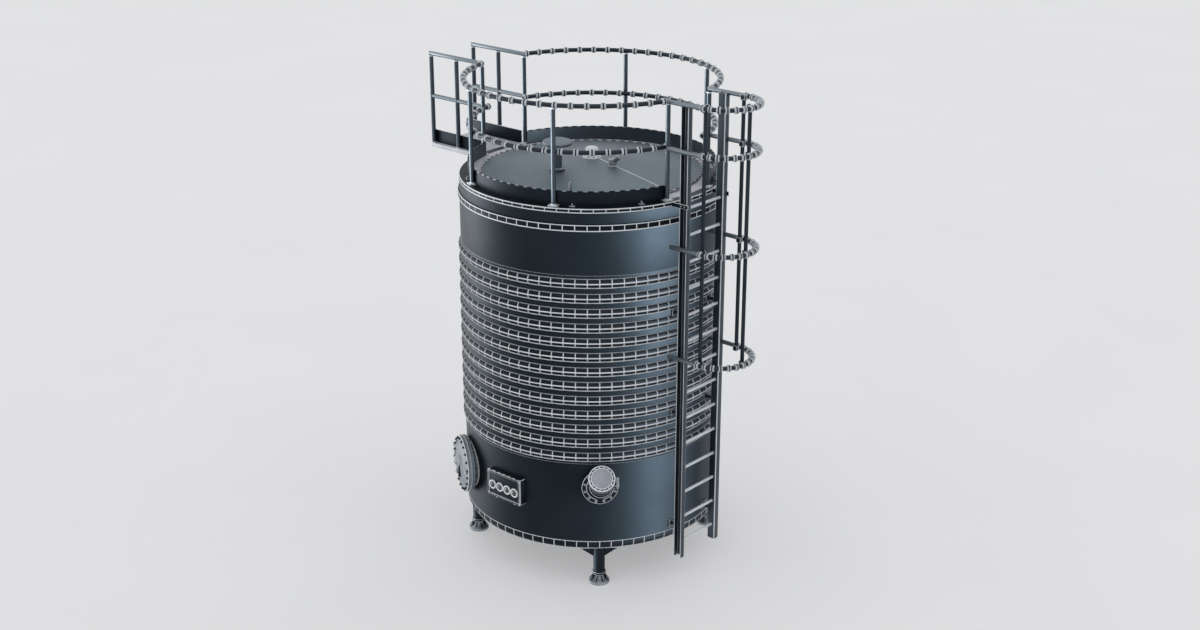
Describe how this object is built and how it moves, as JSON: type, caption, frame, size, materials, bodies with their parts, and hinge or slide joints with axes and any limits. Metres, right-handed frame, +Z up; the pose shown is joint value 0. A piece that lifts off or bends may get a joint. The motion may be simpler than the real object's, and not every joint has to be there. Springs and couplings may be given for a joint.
{
  "type": "mixing tank",
  "caption": "Upright round mixing tank on feet, with heating hoops, a side mixer, a hinged manway, a ring platform with guard rail, a caged ladder and a short bridge.",
  "frame": {"origin": "centre of the bounding box at floor level, under the four feet; the tank's axis stands 23 mm behind it, at x 0 and y 0.023", "axes": "+Z up, +X from the tank's axis towards the ladder, -X towards the bridge, -Y towards the front with the control box"},
  "size_m": [4.4366, 3.05, 5.496],
  "materials": {
    "slate_steel": "satin dark slate coating",
    "roof_steel": "satin mid grey coating",
    "deck_steel": "matt light grey coating",
    "edge_steel": "satin light grey steel",
    "rail_steel": "satin grey coated tube"
  },
  "bodies": {
    "tank": {"bottom_head": "slate_steel", "lower_course": "slate_steel", "manway_plate": "slate_steel", "jacket_course": "slate_steel", "upper_course": "slate_steel", "platform_drum": "slate_steel", "toe_board_front": "slate_steel", "toe_board_back": "slate_steel", "ladder": "slate_steel", "leg_front_right": "slate_steel", "leg_back_right": "slate_steel", "leg_back_left": "slate_steel", "leg_front_left": "slate_steel", "manway_neck": "slate_steel", "manway_flange": "slate_steel", "control_box": "slate_steel", "mixer_lantern": "slate_steel", "mixer_motor": "slate_steel", "mixer_terminal_box": "slate_steel", "vent_pipe": "slate_steel", "roof_cone": "roof_steel", "deck_ring": "deck_steel", "bridge_deck": "deck_steel", "shell_top_flange": "edge_steel", "centre_cap": "edge_steel", "vent_hood": "edge_steel", "roof_inlet": "edge_steel", "roof_lifting_lug": "edge_steel", "foot_front_right": "edge_steel", "foot_back_right": "edge_steel", "landing_bar_front": "edge_steel", "landing_bar_back": "edge_steel", "foot_back_left": "edge_steel", "foot_front_left": "edge_steel", "manway_hinge": "edge_steel", "mixer_wall_flange": "edge_steel", "mixer_fan_cowl": "edge_steel", "top_rail_front": "rail_steel", "top_rail_back": "rail_steel", "mid_rail_front": "rail_steel", "mid_rail_back": "rail_steel", "cage_loop_low": "rail_steel", "cage_loop_high": "rail_steel", "cage_loop_mid_rail": "rail_steel", "cage_loop_top_rail": "rail_steel", "cage_bar_front": "rail_steel", "cage_bar_outer": "rail_steel", "cage_bar_back": "rail_steel", "bridge_rail_front": "rail_steel", "bridge_rail_back": "rail_steel", "post_front_bridge": "rail_steel", "post_front_left": "rail_steel", "post_front_right": "rail_steel", "post_front_ladder": "rail_steel", "post_back_bridge": "rail_steel", "post_back_left": "rail_steel", "post_back_right": "rail_steel", "post_back_ladder": "rail_steel"},
    "manway_cover": {"manway_door": "slate_steel"}
  },
  "joints": [
    {"name": "manway_hinge_turn", "type": "hinge", "parent": "tank", "child": "manway_cover", "pos_m": [-1.11534, -1.14882, 1.05], "axis": [0, 0, -1], "range_deg": [0, 110]}
  ]
}
